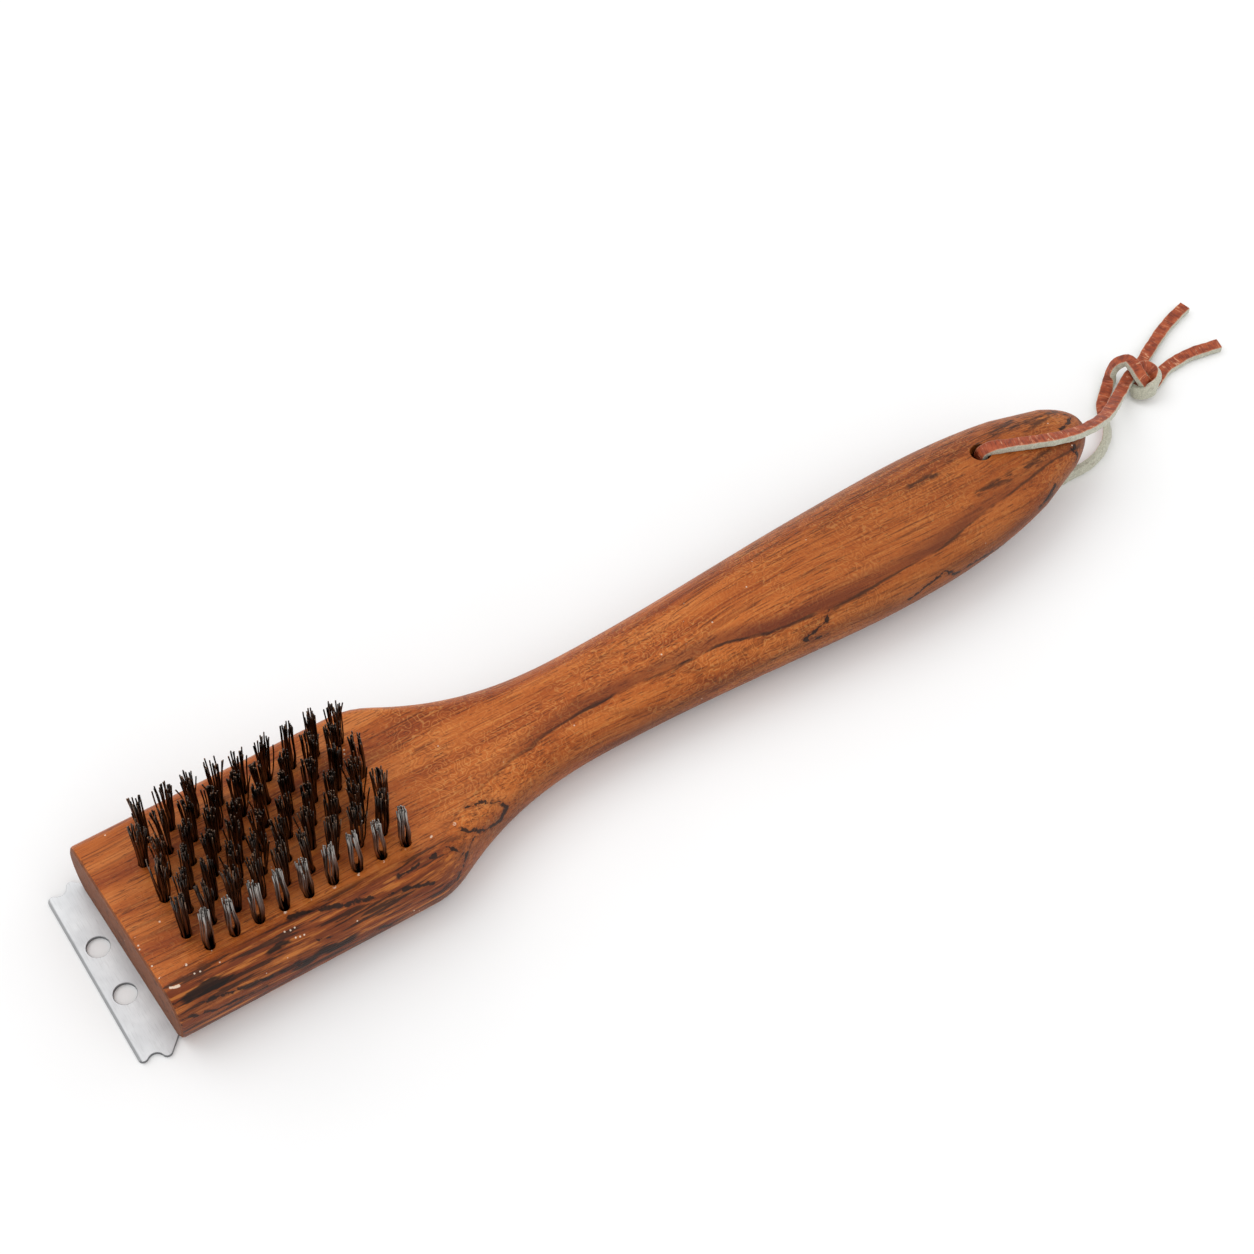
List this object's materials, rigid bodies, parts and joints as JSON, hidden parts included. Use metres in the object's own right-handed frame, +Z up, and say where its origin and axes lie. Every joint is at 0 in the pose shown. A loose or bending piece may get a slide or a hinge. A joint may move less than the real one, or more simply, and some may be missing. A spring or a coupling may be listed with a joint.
{
  "type": "wooden grill brush",
  "caption": "Wooden grill brush with staggered steel wire tufts, a flat steel scraper at the head and a leather lace tied through the handle.",
  "frame": {"origin": "on the table under the middle of the brush's bounding box, the lace left out", "axes": "+X along the handle away from the scraper, +Y across the head, +Z up along the bristles"},
  "size_m": [0.3368, 0.0565, 0.036],
  "materials": {
    "wood": "oiled orange-brown hardwood with dark streaks, satin",
    "plate_steel": "matt rolled stainless sheet",
    "screw_steel": "plain zinc-plated screws",
    "bristle_wire": "dark tempered steel wire, satin",
    "staple_wire": "flat bright wire",
    "lace_leather": "red-brown grain side, pale grey suede side"
  },
  "bodies": {
    "root": {"wood_body": "wood", "scraper_plate": "plate_steel", "scraper_screws": "screw_steel", "tuft_row_1": "bristle_wire", "tuft_row_2": "bristle_wire", "tuft_row_3": "bristle_wire", "tuft_row_4": "bristle_wire", "tuft_row_5": "bristle_wire", "tuft_row_6": "bristle_wire", "tuft_row_7": "bristle_wire", "tuft_staples": "staple_wire", "leather_lace": "lace_leather"}
  },
  "joints": []
}
